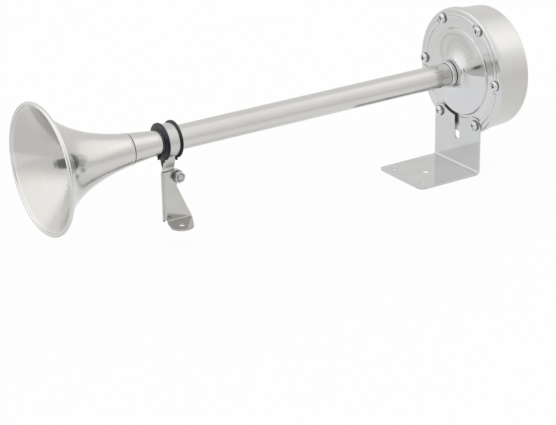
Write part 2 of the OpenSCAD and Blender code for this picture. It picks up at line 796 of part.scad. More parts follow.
// Each screw's seat: the bracket's face for the two lowest, the cover's face for the others
module each_screw() {
    for (i = [0 : screw_count - 1]) {
        seat = (i == 0 || i == screw_count - 1) ? -foot_t : 0;
        at_screw(i) translate([0, 0, seat]) children();
    }
}

module cover_screws() {
    color([0.80, 0.81, 0.82]) at_seat() each_screw() union() {
        translate([0, 0, -lock_t]) cylinder(r = screw_r, h = lock_t + screw_len);
        translate([0, 0, -lock_t]) rotate([180, 0, 0]) pan_head(screw_head_r, screw_head_h);
    }
}

module lock_washers() {
    color([0.55, 0.56, 0.58]) at_seat() each_screw() translate([0, 0, -lock_t]) difference() {
        ring(screw_hole_r, lock_r, lock_t);
        translate([0, -lock_split / 2, -past]) cube([2 * lock_r, lock_split, lock_t + 2 * past]);
    }
}

module rear_bracket() {
    screw_y = screw_circle_r * sin(foot_screw_a);
    screw_z = screw_circle_r * cos(foot_screw_a);
    bracket_ear_r = foot_w / 2 - screw_y;
    fold_z = -axis_h + foot_bend_r + foot_t;
    fold_x = -foot_bend_r - foot_t;
    nose_x = -foot_reach - foot_nose;
    corner_x = nose_x + foot_corner_r;
    corner_y = foot_w / 2 - foot_corner_r;
    color([0.80, 0.81, 0.83]) translate([foot_reach, 0, axis_h]) union() {
        // upright plate between the two lowest screws
        translate([-foot_t, 0, 0]) rotate([90, 0, 90]) linear_extrude(height = foot_t) difference() {
            union() {
                translate([-foot_w / 2, fold_z]) square([foot_w, -screw_z - fold_z]);
                for (side = [-1, 1]) translate([side * screw_y, -screw_z]) circle(r = bracket_ear_r);
                translate([-screw_y, fold_z]) square([2 * screw_y, bracket_ear_r - screw_z - fold_z]);
            }
            circle(r = disc_r + ear_gap);
            for (side = [-1, 1]) translate([side * screw_y, -screw_z]) circle(r = screw_hole_r);
            translate([0, -slot_depth + slot_w / 2]) circle(r = slot_w / 2);
            translate([-slot_w / 2, -slot_depth + slot_w / 2]) square([slot_w, slot_depth]);
        }
        // fold
        translate([fold_x, foot_w / 2, fold_z]) rotate([90, 0, 0])
            bend(foot_bend_r, foot_bend_r + foot_t, foot_w);
        // foot with rounded corners
        translate([0, 0, -axis_h]) linear_extrude(height = foot_t) difference() {
            union() {
                translate([corner_x, -foot_w / 2]) square([fold_x - corner_x, foot_w]);
                translate([nose_x, -corner_y]) square([2 * foot_corner_r, 2 * corner_y]);
                for (side = [-1, 1]) translate([corner_x, side * corner_y]) circle(r = foot_corner_r);
            }
            for (side = [-1, 1]) translate([-foot_reach, side * foot_hole_gap / 2]) circle(r = foot_hole_r);
            translate([-foot_reach + big_hole_x, 0]) circle(r = big_hole_r);
        }
    }
}

module gasket(x) {
    at_seat(x) difference() {
        ring(gasket_r, stack_r, gasket_t);
        at_screws() translate([0, 0, -past]) cylinder(r = screw_hole_r, h = gasket_t + 2 * past);
    }
}

module front_gasket() {
    color([0.15, 0.15, 0.15]) gasket(gasket_x);
}

module rear_gasket() {
    color([0.15, 0.15, 0.15]) gasket(rear_gasket_x);
}

module diaphragm() {
    color([0.60, 0.62, 0.66]) at_seat(diaphragm_x) difference() {
        cylinder(r = stack_r, h = diaphragm_t);
        translate([0, 0, -past]) cylinder(r = stud_r + slip, h = diaphragm_t + 2 * past);
        at_screws() translate([0, 0, -past]) cylinder(r = screw_hole_r, h = diaphragm_t + 2 * past);
    }
}

module flange_ring() {
    color([0.62, 0.63, 0.65]) at_seat(ring_x) difference() {
        ring(ring_in_r, stack_r, ring_t);
        at_screws() translate([0, 0, -past]) cylinder(r = screw_r + slip, h = ring_t + 2 * past);
    }
}

module armature() {
    stud_top = stud_nut_t + stud_washer_t + diaphragm_t;
    color([0.50, 0.51, 0.53]) at_seat(armature_x) union() {
        cylinder(r = armature_r, h = armature_t);
        cylinder(r = plunger_r, h = armature_t + plunger_len);
        translate([0, 0, -stud_top]) cylinder(r = stud_r, h = stud_top + armature_t);
    }
}

module armature_washer() {
    color([0.70, 0.70, 0.72]) at_seat(diaphragm_x - stud_washer_t)
        ring(stud_r + slip, stud_washer_r, stud_washer_t);
}

module armature_nut() {
    color([0.70, 0.70, 0.72]) at_seat(diaphragm_x - stud_washer_t - stud_nut_t)
        hex_nut(stud_nut_af, stud_nut_t, stud_r + slip);
}

module coil_bobbin() {
    color([0.22, 0.20, 0.18]) at_seat(bobbin_x) difference() {
        union() {
            cylinder(r = bobbin_bore_r + bobbin_wall, h = bobbin_end_x - bobbin_x);
            cylinder(r = bobbin_r, h = bobbin_wall);
            translate([0, 0, bobbin_end_x - bobbin_x - bobbin_wall]) cylinder(r = bobbin_r, h = bobbin_wall);
        }
        translate([0, 0, -past]) cylinder(r = bobbin_bore_r, h = bobbin_end_x - bobbin_x + 2 * past);
    }
}

module coil_winding() {
    color([0.70, 0.36, 0.20]) at_seat(bobbin_x + bobbin_wall + seat_gap)
        ring(
            bobbin_bore_r + bobbin_wall + seat_gap,
            winding_r,
            bobbin_end_x - bobbin_x - 2 * (bobbin_wall + seat_gap)
        );
}

module magnet_yoke() {
    color([0.45, 0.46, 0.48]) at_seat(yoke_x) difference() {
        cylinder(r = yoke_r, h = yoke_len);
        translate([0, 0, -past]) cylinder(r = yoke_r - yoke_wall, h = yoke_len - yoke_wall + past);
        cylinder(r = pole_end_r + slip, h = yoke_len + past);
    }
}

module pole_core() {
    pole_len = yoke_floor_x - pole_x;
    color([0.50, 0.51, 0.53]) at_seat() union() {
        translate([0, 0, pole_x]) cylinder(r = plunger_r, h = pole_len);
        translate([0, 0, pole_x]) cylinder(r = pole_end_r, h = pole_len + yoke_wall + pole_end_len);
    }
}

module core_nut() {
    color([0.72, 0.73, 0.75]) at_seat(can_depth - dish_depth)
        hex_nut(core_nut_af, core_nut_t, pole_end_r + slip);
}

// Pieces of the contact stack, in the drum's upper half
module in_stack(x, z) {
    translate([foot_reach + x, 0, axis_h + z]) children();
}

module at_rivets(x) {
    for (side = [-1, 1])
        in_stack(x, stack_z) translate([0, side * stack_w / 4, 0]) rotate([0, 90, 0]) children();
}

module contact_base() {
    base_x = moving_arm_x + moving_arm_t;
    color([0.35, 0.20, 0.12]) difference() {
        in_stack(base_x, stack_z) translate([0, -stack_w / 2, -stack_d / 2])
            cube([back_in_x - base_x, stack_w, stack_d]);
        at_rivets(base_x - past) cylinder(r = rivet_r + slip, h = rivet_depth + hole_gap + past);
    }
}

module arm_strip(x, thick, tip_z) {
    difference() {
        in_stack(x, stack_z) translate([0, -stack_w / 2, tip_z - stack_z])
            cube([thick, stack_w, stack_z - tip_z + stack_d / 2]);
        at_rivets(x - past) cylinder(r = rivet_r + slip, h = thick + 2 * past);
    }
}

module moving_arm() {
    color([0.75, 0.60, 0.30]) arm_strip(moving_arm_x, moving_arm_t, pusher_z - pusher_r - arm_end);
}

module contact_spacer() {
    color([0.35, 0.20, 0.12]) difference() {
        in_stack(fixed_arm_x + fixed_arm_t, stack_z) translate([0, -stack_w / 2, -stack_d / 2])
            cube([arm_gap, stack_w, stack_d]);
        at_rivets(fixed_arm_x) cylinder(r = rivet_r + slip, h = fixed_arm_t + arm_gap + past);
    }
}

module fixed_arm() {
    tab_half = adjuster_r + adjuster_rim;
    tab_y = stack_w / 2 - adjuster_rim;
    color([0.75, 0.60, 0.30]) union() {
        arm_strip(fixed_arm_x, fixed_arm_t, contact_z - contact_r - arm_end);
        in_stack(fixed_arm_x, stack_z) translate([0, tab_y, -tab_half])
            cube([fixed_arm_t, adjuster_y + tab_half - tab_y, 2 * tab_half]);
    }
}

module contact_points() {
    half = (arm_gap - seat_gap) / 2;
    color([0.80, 0.80, 0.82]) {
        in_stack(fixed_arm_x + fixed_arm_t, contact_z) rotate([0, 90, 0]) cylinder(r = contact_r, h = half);
        in_stack(moving_arm_x - half, contact_z) rotate([0, 90, 0]) cylinder(r = contact_r, h = half);
    }
}

module contact_pusher() {
    color([0.85, 0.83, 0.78]) in_stack(pusher_x, pusher_z) rotate([0, 90, 0])
        cylinder(r = pusher_r, h = moving_arm_x - pusher_x);
}

module contact_rivets() {
    color([0.75, 0.65, 0.35]) at_rivets(fixed_arm_x) union() {
        translate([0, 0, -rivet_head_t]) cylinder(r = rivet_head_r, h = rivet_head_t);
        translate([0, 0, -rivet_head_t])
            cylinder(r = rivet_r, h = rivet_head_t + fixed_arm_t + arm_gap + moving_arm_t + rivet_depth);
    }
}

module adjuster_screw() {
    tip_x = fixed_arm_x + fixed_arm_t + seat_gap;
    screw_l = can_depth + adjuster_out - tip_x;
    color([0.72, 0.73, 0.75]) in_stack(tip_x, stack_z) translate([0, adjuster_y, 0]) rotate([0, 90, 0])
        difference() {
            cylinder(r = adjuster_r, h = screw_l);
            translate([-adjuster_r - past, -adjuster_slot / 2, screw_l - adjuster_slot])
                cube([2 * (adjuster_r + past), adjuster_slot, 2 * adjuster_slot]);
        }
}

module adjuster_nut() {
    color([0.72, 0.73, 0.75]) in_stack(can_depth, stack_z) translate([0, adjuster_y, 0]) rotate([0, 90, 0])
        hex_nut(adjuster_nut_af, adjuster_nut_t, adjuster_r + slip);
}

module lead_grommet() {
    color([0.12, 0.12, 0.12]) at_seat() translate([grommet_z, 0, back_in_x - grommet_t]) difference() {
        union() {
            cylinder(r = grommet_r, h = grommet_t - seat_gap);
            cylinder(r = grommet_hole_r - seat_gap, h = 2 * grommet_t + can_wall);
            translate([0, 0, grommet_t + can_wall + seat_gap])
                cylinder(r1 = grommet_r, r2 = grommet_r - grommet_slope, h = grommet_t);
        }
        translate([0, 0, -past]) cylinder(r = grommet_bore_r, h = 2 * grommet_t + can_wall + 3 * past);
    }
}

bell();
tube();
tube_collar();
clamp_liner();
clamp_band();
front_bracket();
clamp_bolt();
clamp_washer();
clamp_nut();
front_cover();
rear_can();
cover_screws();
lock_washers();
rear_bracket();
front_gasket();
diaphragm();
rear_gasket();
flange_ring();
armature();
armature_washer();
armature_nut();
coil_bobbin();
coil_winding();
magnet_yoke();
pole_core();
core_nut();
contact_base();
moving_arm();
contact_spacer();
fixed_arm();
contact_points();
contact_pusher();
contact_rivets();
adjuster_screw();
adjuster_nut();
lead_grommet();
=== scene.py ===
import math
import bmesh
import bpy
from mathutils import Matrix, Quaternion, Vector


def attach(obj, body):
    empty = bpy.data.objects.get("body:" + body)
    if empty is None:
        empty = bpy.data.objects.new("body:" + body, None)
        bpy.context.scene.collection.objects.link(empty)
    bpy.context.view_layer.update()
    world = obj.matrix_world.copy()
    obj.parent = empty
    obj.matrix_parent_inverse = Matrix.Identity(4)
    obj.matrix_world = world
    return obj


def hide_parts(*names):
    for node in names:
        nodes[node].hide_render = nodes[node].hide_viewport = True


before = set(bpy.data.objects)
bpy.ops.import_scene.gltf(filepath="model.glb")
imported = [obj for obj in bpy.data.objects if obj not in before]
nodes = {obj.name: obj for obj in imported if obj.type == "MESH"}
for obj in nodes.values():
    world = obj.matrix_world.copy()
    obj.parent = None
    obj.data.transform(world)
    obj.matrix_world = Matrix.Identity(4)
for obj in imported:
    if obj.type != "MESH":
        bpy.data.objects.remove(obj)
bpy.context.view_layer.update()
scene = bpy.context.scene

MM = 0.001

# places on the horn, in millimetres in the part's frame
AXIS_H = 81.1       # height of the horn's axis above the feet
SEAT = 50.6         # x of the cover's pads, which the screws pull against
BELL_END = -258.2   # x where the bell ends on the tube
RIM = -328.8        # x up to which the bell's rolled rim gets a painted highlight


# ---------- camera at the photograph's angle ----------
SENSOR_WIDTH, LENS = 36.0, 123.8
CAMERA_AT = (-0.87714, -1.16784, 0.5752)
CAMERA_TURN = (0.795774, 0.534352, -0.1512, -0.241558)

cam_data = bpy.data.cameras.new("camera")
cam_data.sensor_width = SENSOR_WIDTH
cam_data.lens = LENS
cam = bpy.data.objects.new("camera", cam_data)
cam.location = CAMERA_AT
cam.rotation_mode = "QUATERNION"
cam.rotation_quaternion = Quaternion(CAMERA_TURN)
scene.collection.objects.link(cam)
scene.camera = cam


# ---------- node helpers ----------
NOISE_SPAN = (0.3, 0.7)   # nearly all values of a noise lie between these
WHITE = (1.0, 1.0, 1.0)
# near black: painted shade in gaps and corners, and the colour of the dirty joint
SHADE_AND_DIRT = (0.030, 0.029, 0.027)
SHADE_REACH = 1.1         # millimetres within which a wall brings painted shade
SHADE_OPEN = (0.42, 0.80)   # how open a point is where the painted shade is full and where it ends
SMOOTHEST = 0.03          # no finish is polished beyond this roughness


def scaled(colour, share):
    return tuple(min(1.0, c * share) for c in colour)


class Tree:
    """A node tree with short calls for adding and joining nodes."""

    def __init__(self, tree):
        self.t = tree

    def add(self, kind, **values):
        n = self.t.nodes.new(kind)
        for k, v in values.items():
            setattr(n, k, v)
        return n

    def join(self, a, b):
        self.t.links.new(a, b)

    def feed(self, v, sock):
        """Join an output to a socket, or set the socket to a number or a colour."""
        if isinstance(v, (int, float)):
            sock.default_value = v
        elif isinstance(v, tuple):
            sock.default_value = (*v, 1.0)
        else:
            self.join(v, sock)

    def math(self, op, a, b=None, clamp=False):
        n = self.add("ShaderNodeMath", operation=op, use_clamp=clamp)
        self.feed(a, n.inputs[0])
        if b is not None:
            self.feed(b, n.inputs[1])
        return n.outputs[0]

    def times(self, *factors):
        product = factors[0]
        for f in factors[1:]:
            product = self.math("MULTIPLY", product, f)
        return product

    def length(self, a, b):
        return self.math("SQRT", self.math("ADD", self.times(a, a), self.times(b, b)))

    def noise(self, vec, scale, detail, rough):
        n = self.add("ShaderNodeTexNoise")
        n.inputs["Scale"].default_value = scale
        n.inputs["Detail"].default_value = detail
        n.inputs["Roughness"].default_value = rough
        self.join(vec, n.inputs["Vector"])
        return n.outputs[0]

    def ramp(self, fac, stops):
        """Colours at their places from 0 to 1."""
        n = self.add("ShaderNodeValToRGB")
        r = n.color_ramp
        while len(r.elements) < len(stops):
            r.elements.new(0.5)
        for e, (place, colour) in zip(r.elements, stops):
            e.position = place
            e.color = (*colour, 1.0)
        self.join(fac, n.inputs[0])
        return n.outputs[0]

    def range(self, v, from_min, from_max, to_min, to_max, shape="LINEAR"):
        n = self.add("ShaderNodeMapRange", interpolation_type=shape)
        self.join(v, n.inputs["Value"])
        limits = {"From Min": from_min, "From Max": from_max, "To Min": to_min, "To Max": to_max}
        for k, x in limits.items():
            n.inputs[k].default_value = x
        return n.outputs[0]

    def fade_in(self, v, span, full=1.0):
        """0 before a span in millimetres, full after it."""
        return self.range(v, span[0] * MM, span[1] * MM, 0.0, full)

    def fade_out(self, v, span, full=1.0):
        """Full before a span in millimetres, 0 after it."""
        return self.range(v, span[0] * MM, span[1] * MM, full, 0.0)

    def bump(self, height, strength, distance, onto=None):
        n = self.add("ShaderNodeBump")
        n.inputs["Strength"].default_value = strength
        n.inputs["Distance"].default_value = distance
        self.join(height, n.inputs["Height"])
        if onto is not None:
            self.join(onto, n.inputs["Normal"])
        return n.outputs[0]

    def mix(self, fac, a, b, blend="MIX"):
        """Colour a where fac is 0, colour b where it is 1."""
        n = self.add("ShaderNodeMix", data_type="RGBA", blend_type=blend)
        for sock, v in zip(("Factor", "A", "B"), (fac, a, b)):
            self.feed(v, n.inputs[sock])
        return n.outputs["Result"]

    def mix_shaders(self, fac, a, b, out):
        """Shader a where fac is 0, shader b where it is 1, joined to a socket."""
        n = self.add("ShaderNodeMixShader")
        for sock, v in zip(n.inputs, (fac, a, b)):
            self.join(v, sock)
        self.join(n.outputs[0], out)

    def xyz(self, x, y, z):
        n = self.add("ShaderNodeCombineXYZ")
        for sock, v in zip(n.inputs, (x, y, z)):
            self.feed(v, sock)
        return n.outputs[0]

    def split(self, vec):
        n = self.add("ShaderNodeSeparateXYZ")
        self.join(vec, n.inputs[0])
        return n.outputs

    def coords(self, kind="Object"):
        return self.add("ShaderNodeTexCoord").outputs[kind]


class MaterialTree(Tree):
    """A new material's node tree."""

    def __init__(self, name):
        self.mat = bpy.data.materials.new(name)
        self.mat.use_nodes = True
        super().__init__(self.mat.node_tree)
        self.bsdf = self.t.nodes["Principled BSDF"]
        self.out = self.t.nodes["Material Output"].inputs["Surface"]

    def put(self, sock, v):
        self.feed(v, self.bsdf.inputs[sock])

    def polish(self, fine, cloud, rough, swing, blotch):
        """Roughness that swings with the fine marks, and by half of blotch with the patches."""
        marks = self.range(fine, *NOISE_SPAN, rough - swing, rough + swing)
        patches = self.range(cloud, *NOISE_SPAN, -blotch * 0.5, blotch * 0.5)
        self.put("Roughness", self.math("MAXIMUM", self.math("ADD", marks, patches), SMOOTHEST))

    def gap_shade(self):
        """Painted shade from ambient occlusion: 1 in narrow gaps and inner corners, 0 on open
        metal.
        """
        n = self.add("ShaderNodeAmbientOcclusion", samples=8)
        n.inputs["Distance"].default_value = SHADE_REACH * MM
        return self.range(n.outputs["AO"], *SHADE_OPEN, 1.0, 0.0)


def spun_coords(t):
    """Object coordinates, and turned into place along the horn, radius and angle (m, radians)."""
    obj = t.coords()
    x, y, z = t.split(obj)
    up = t.math("SUBTRACT", z, AXIS_H * MM)
    return obj, x, t.length(y, up), t.math("ARCTAN2", y, up)


# ---------- finishes ----------
# Painted shade beside the rear bracket, in millimetres: radius and y where each patch comes and
# goes.
ARC_RADII = ((36.1, 36.5), (38.4, 39.0))    # between the disc's step and the bracket's edge
ARC_Y = ((-2.0, 1.5), (17.0, 22.0))
SLOT_RADII = ((37.0, 37.6), (44.0, 49.0))   # in the bracket's slot
SLOT_HALF = (3.4, 3.9)
SLOT_SIDE, SLOT_SIDE_SHADE = (-1.8, 1.0), 0.35
BELOW_AXIS = (135, 140)                     # degrees from straight up
CREVICE_SHADE = 0.96

# Noises of the finishes: scale per metre, detail and softness; the rings also have the share of
# the angle that they follow.
SPUN_FINE, SPUN_BAND = (2600.0, 1.2, 4.0, 0.6), (260.0, 0.8, 2.0, 0.5)
SPUN_CLOUD, SHEET_CLOUD = (38.0, 3.0, 0.55), (55.0, 3.0, 0.55)
SHEET_ALONG, SHEET_ACROSS, SHEET_FINE = 40.0, 1800.0, (1.0, 4.0, 0.6)
RUBBER_FINE, RUBBER_CLOUD = (2400.0, 3.0, 0.6), (120.0, 3.0, 0.5)
SOLID_CLOUD = (300.0, 4.0, 0.6)
CARD_CLOUD = (12.0, 3.0, 0.5)

SEAM_HALF, SEAM_DIRT = (0.35, 0.75), 0.92   # dark line of the joint between bell and tube
RIM_WIDTH, RIM_HIGHLIGHT_SHARE = 1.2, 0.75            # painted highlight on the rolled rim, as a brighter colour
RIM_HIGHLIGHT = (0.80, 0.80, 0.795)
LOW_SHADE_FADE, LOW_SHADE_SHARE = (-0.6, 1.2), 0.75   # painted shade: darker lower end of the front bracket
# paler tone for painted light on the top of the liner
TOP_LIGHT_TONE = (0.058, 0.066, 0.070)


def crevice_shade(t, obj, r, a):
    """Painted shade on the cover, at the bracket's edge and in its slot."""
    y = t.split(obj)[1]
    arc = t.times(t.fade_in(r, ARC_RADII[0]), t.fade_out(r, ARC_RADII[1]),
                  t.fade_out(y, ARC_Y[1]), t.fade_in(y, ARC_Y[0]))
    side = t.range(y, SLOT_SIDE[0] * MM, SLOT_SIDE[1] * MM, SLOT_SIDE_SHADE, 1.0)
    slot = t.times(t.fade_in(r, SLOT_RADII[0]), t.fade_out(r, SLOT_RADII[1]),
                   t.fade_out(t.math("ABSOLUTE", y), SLOT_HALF), side)
    low, high = (math.radians(v) for v in BELOW_AXIS)
    below = t.range(t.math("ABSOLUTE", a), low, high, 0.0, 1.0)
    return t.times(t.times(t.math("MAXIMUM", arc, slot), below), CREVICE_SHADE)


def spun_steel(name, base, rough, lines=0.5, blotch=0.06, grain_x=1.0, tint=0.03, seam=None,
               rim=None, crevice=False, gap_shade_share=1.0):
    """Turned or polished sheet: fine rings round the horn's axis, soft blotches in the polish.

    A grain_x below 1 draws the marks out along the horn. seam is the x of a dirty joint, rim the
    x up to which the edge gets a painted highlight, and crevice adds painted shade beside the rear
    bracket.
    """
    t = MaterialTree(name)
    obj, x, r, a = spun_coords(t)

    def rings(scale, turn, detail, softness):
        where = t.xyz(t.times(x, scale * grain_x), t.times(r, scale), t.times(a, turn))
        return t.noise(where, 1.0, detail, softness)

    fine = rings(*SPUN_FINE)
    band = rings(*SPUN_BAND)
    cloud = t.noise(obj, *SPUN_CLOUD)
    t.polish(fine, cloud, rough, 0.05, blotch)
    mottle = t.math("ADD", t.times(band, 0.5), t.times(cloud, 0.5))
    steel = t.ramp(mottle, [(0.32, scaled(base, 1.0 - tint)), (0.68, scaled(base, 1.0 + tint))])
    # painted shade: darker in gaps and inner corners, by ambient occlusion
    steel = t.mix(t.times(t.gap_shade(), gap_shade_share), steel, SHADE_AND_DIRT)
    if rim is not None:
        # painted highlight: a brighter colour on the rolled rim
        steel = t.mix(t.fade_out(x, (rim, rim + RIM_WIDTH), RIM_HIGHLIGHT_SHARE), steel, RIM_HIGHLIGHT)
    if seam is not None:
        near = t.math("ABSOLUTE", t.math("SUBTRACT", x, seam * MM))
        steel = t.mix(t.fade_out(near, SEAM_HALF, SEAM_DIRT), steel, SHADE_AND_DIRT)
    if crevice:
        # painted shade on the cover along the rear bracket's edge and in its slot
        steel = t.mix(crevice_shade(t, obj, r, a), steel, SHADE_AND_DIRT)
    t.put("Base Color", steel)
    broad = t.bump(band, 0.10 * lines, 0.0002)
    t.put("Normal", t.bump(fine, 0.16 * lines, 0.00005, broad))
    t.put("Metallic", 1.0)
    return t.mat


def sheet_steel(name, base, rough, axis, lines=0.5, tint=0.03, blotch=0.05, shade_below=None,
                lean=None):
    """Rolled and polished sheet: long faint grain along one axis, with handling marks.

    shade_below is the height under which the colour is darker, a painted shade. lean, in degrees,
    is how far an upright face looks upwards, as its bend springs back.
    """
    t = MaterialTree(name)
    obj = t.coords()
    stretch = t.add("ShaderNodeMapping")
    t.join(obj, stretch.inputs["Vector"])
    scale = [SHEET_ALONG if axis == v else SHEET_ACROSS for v in "xyz"]
    stretch.inputs["Scale"].default_value = scale
    fine = t.noise(stretch.outputs[0], *SHEET_FINE)
    cloud = t.noise(obj, *SHEET_CLOUD)
    t.polish(fine, cloud, rough, 0.04, blotch)
    steel = t.ramp(cloud, [(0.35, scaled(base, 1.0 - tint)), (0.65, scaled(base, 1.0 + tint))])
    # painted shade: the colour darkens below a height
    if shade_below is not None:
        span = tuple(shade_below + v for v in LOW_SHADE_FADE)
        steel = t.mix(t.fade_out(t.split(obj)[2], span), steel, scaled(base, LOW_SHADE_SHARE))
    # painted shade: darker in gaps and inner corners, by ambient occlusion
    t.put("Base Color", t.mix(t.gap_shade(), steel, SHADE_AND_DIRT))
    normal = t.bump(cloud, 0.08, 0.0006)
    if lean is not None:
        slope = t.times(t.split(obj)[2], -math.tan(math.radians(lean)))
        normal = t.bump(slope, 1.0, 1.0, normal)
    t.put("Normal", t.bump(fine, 0.14 * lines, 0.00005, normal))
    t.put("Metallic", 1.0)
    return t.mat


def rubber(name, base, rough=0.55, shine=0.22, lip=None, lit_top=None):
    """Moulded rubber.

    lip is the middle radius and half width of a rounded rib on its end faces. lit_top is the two
    heights between which a paler tone comes in: painted light on the top.
    """
    t = MaterialTree(name)
    obj = t.coords()
    fine = t.noise(obj, *RUBBER_FINE)
    cloud = t.noise(obj, *RUBBER_CLOUD)
    t.put("Roughness", t.range(cloud, *NOISE_SPAN, rough - 0.08, rough + 0.08))
    tone = t.ramp(cloud, [(0.3, scaled(base, 0.82)), (0.7, scaled(base, 1.18))])
    if lit_top is not None:
        # painted light: paler towards the top
        tone = t.mix(t.fade_in(t.split(obj)[2], lit_top), tone, TOP_LIGHT_TONE)
    t.put("Base Color", tone)
    rib = None
    if lip is not None:
        middle, half = lip
        radius = spun_coords(t)[2]
        off = t.math("SUBTRACT", radius, middle * MM)
        rib = t.bump(t.times(off, off, -0.5 / (half * MM)), 1.0, 1.0)
    t.put("Normal", t.bump(fine, 0.25, 0.00006, rib))
    t.put("Specular IOR Level", shine)
    return t.mat


def plain_solid(name, base, rough, metallic=0.0):
    """A piece inside the drum: one colour with a little unevenness."""
    t = MaterialTree(name)
    cloud = t.noise(t.coords(), *SOLID_CLOUD)
    t.put("Roughness", t.range(cloud, *NOISE_SPAN, rough - 0.06, rough + 0.06))
    t.put("Base Color", t.ramp(cloud, [(0.3, scaled(base, 0.9)), (0.7, scaled(base, 1.08))]))
    t.put("Normal", t.bump(cloud, 0.15, 0.0002))
    t.put("Metallic", metallic)
    return t.mat


WIRE_PITCH = 0.0007
WIRE_TONES = ((0.0, (0.25, 0.09, 0.04)), (1.0, (0.62, 0.28, 0.13)))


def winding():
    """Enamelled wire, one ridge for each turn."""
    t = MaterialTree("enamelled_wire")
    x = spun_coords(t)[1]
    turns = t.math("SINE", t.times(x, 2.0 * math.pi / WIRE_PITCH))
    t.put("Base Color", t.ramp(t.range(turns, -1.0, 1.0, 0.0, 1.0), WIRE_TONES))
    t.put("Normal", t.bump(turns, 0.6, 0.0002))
    t.put("Metallic", 0.7)
    t.put("Roughness", 0.35)
    return t.mat


STEEL = (0.655, 0.648, 0.635)
BRIGHT = (0.665, 0.668, 0.675)
SEAM_OFFSET = 0.45   # from the bell's end to the middle of the dark line
m_bell = spun_steel("bell_steel", STEEL, 0.16, lines=0.035, blotch=0.05, tint=0.02, rim=RIM)
m_tube = spun_steel("tube_steel", STEEL, 0.13, lines=0.008, grain_x=0.05, blotch=0.05,
                    seam=BELL_END + SEAM_OFFSET)
m_can = spun_steel("can_steel", (0.685, 0.680, 0.668), 0.20, lines=0.25, blotch=0.06)
m_cover = spun_steel("cover_steel", BRIGHT, 0.06, lines=0.05, blotch=0.03, tint=0.01,
                     crevice=True, gap_shade_share=0.55)
m_collar = spun_steel("collar_steel", BRIGHT, 0.12, lines=0.10, blotch=0.03)
m_band = spun_steel("band_steel", (0.62, 0.615, 0.60), 0.22, lines=0.25)
m_foot = sheet_steel("foot_steel", (0.630, 0.635, 0.641), 0.08, "z", lines=0.12, blotch=0.03)
m_front = sheet_steel("front_foot_steel", (0.56, 0.553, 0.53), 0.13, "z", lines=0.35, tint=0.05,
                      shade_below=17.1, lean=3.5)
m_screw = sheet_steel("screw_steel", (0.70, 0.70, 0.71), 0.14, "x", lines=0.20)
m_bolt = sheet_steel("bolt_steel", (0.51, 0.51, 0.51), 0.22, "y", lines=0.30)
m_washer = sheet_steel("washer_steel", (0.38, 0.38, 0.385), 0.34, "x", lines=0.40)
m_rubber = rubber("liner_rubber", (0.009, 0.014, 0.020), 0.38, lip=(10.8, 7.0),
                  lit_top=(AXIS_H + 2.0, AXIS_H + 11.0))
m_black = rubber("black_rubber", (0.020, 0.020, 0.022))
m_iron = plain_solid("plated_iron", (0.46, 0.46, 0.47), 0.35, 1.0)
m_spring = plain_solid("spring_steel", (0.55, 0.57, 0.60), 0.22, 1.0)
m_brass = plain_solid("brass", (0.70, 0.52, 0.24), 0.30, 1.0)
m_silver = plain_solid("contact_silver", (0.80, 0.80, 0.81), 0.25, 1.0)
m_phenolic = plain_solid("phenolic", (0.22, 0.11, 0.06), 0.50)
m_bobbin = plain_solid("bobbin_plastic", (0.10, 0.09, 0.08), 0.50)
m_ceramic = plain_solid("pusher_ceramic", (0.80, 0.77, 0.70), 0.45)
m_wire = winding()

LOOK = {
    "bell": m_bell, "tube": m_tube, "tube_collar": m_collar,
    "clamp_liner": m_rubber, "clamp_band": m_band, "front_bracket": m_front,
    "clamp_bolt": m_bolt, "clamp_washer": m_washer, "clamp_nut": m_bolt,
    "front_cover": m_cover, "rear_can": m_can, "rear_bracket": m_foot,
    "cover_screws": m_screw, "lock_washers": m_washer,
    "front_gasket": m_black, "diaphragm": m_spring, "rear_gasket": m_black,
    "flange_ring": m_iron, "armature": m_iron, "armature_washer": m_iron,
    "armature_nut": m_iron, "coil_bobbin": m_bobbin, "coil_winding": m_wire,
    "magnet_yoke": m_iron, "pole_core": m_iron, "core_nut": m_iron,
    "contact_base": m_phenolic, "moving_arm": m_brass, "contact_spacer": m_phenolic,
    "fixed_arm": m_brass, "contact_points": m_silver, "contact_pusher": m_ceramic,
    "contact_rivets": m_brass, "adjuster_screw": m_bolt, "adjuster_nut": m_washer,
    "lead_grommet": m_black,
}


def smooth(mesh, angle=32):
    """Smooth shading that keeps edges sharper than an angle in degrees."""
    for p in mesh.polygons:
        p.use_smooth = True
    mesh.set_sharp_from_angle(angle=math.radians(angle))


for n, o in nodes.items():
    o.data.materials.clear()
    o.data.materials.append(LOOK[n])
    smooth(o.data)


# ---------- mesh helpers ----------
def new_object(name, mesh):
    o = bpy.data.objects.new(name, mesh)
    scene.collection.objects.link(o)
    return o


def closed_mesh(bm, name):
    """The finished mesh, with its faces turned outwards."""
    bmesh.ops.recalc_face_normals(bm, faces=bm.faces)
    me = bpy.data.meshes.new(name)
    bm.to_mesh(me)
    bm.free()
    return me


def ring_at(along, radius, steps):
    """Points round the x axis, or one point where the radius is 0."""
    if radius == 0:
        return [(along, 0, 0)]
    angles = [2 * math.pi * i / steps for i in range(steps)]
    return [(along, radius * math.cos(a), radius * math.sin(a)) for a in angles]


def skin(name, rings):
    """A closed solid over rings of points; its first and last ring are single points."""
    bm = bmesh.new()
    rows = [[bm.verts.new(p) for p in ring] for ring in rings]
    for one, two in zip(rows, rows[1:]):
        around = max(len(one), len(two))
        for i in range(around):
            j = (i + 1) % around
            corners = [one[i % len(one)], one[j % len(one)], two[j % len(two)], two[i % len(two)]]
            bm.faces.new(list(dict.fromkeys(corners)))
    return closed_mesh(bm, name)


def turned(name, profile, steps=64):
    """A solid turned round the x axis from (along, radius) points; both ends lie on the axis."""
    return skin(name, [ring_at(along, radius, steps) for along, radius in profile])


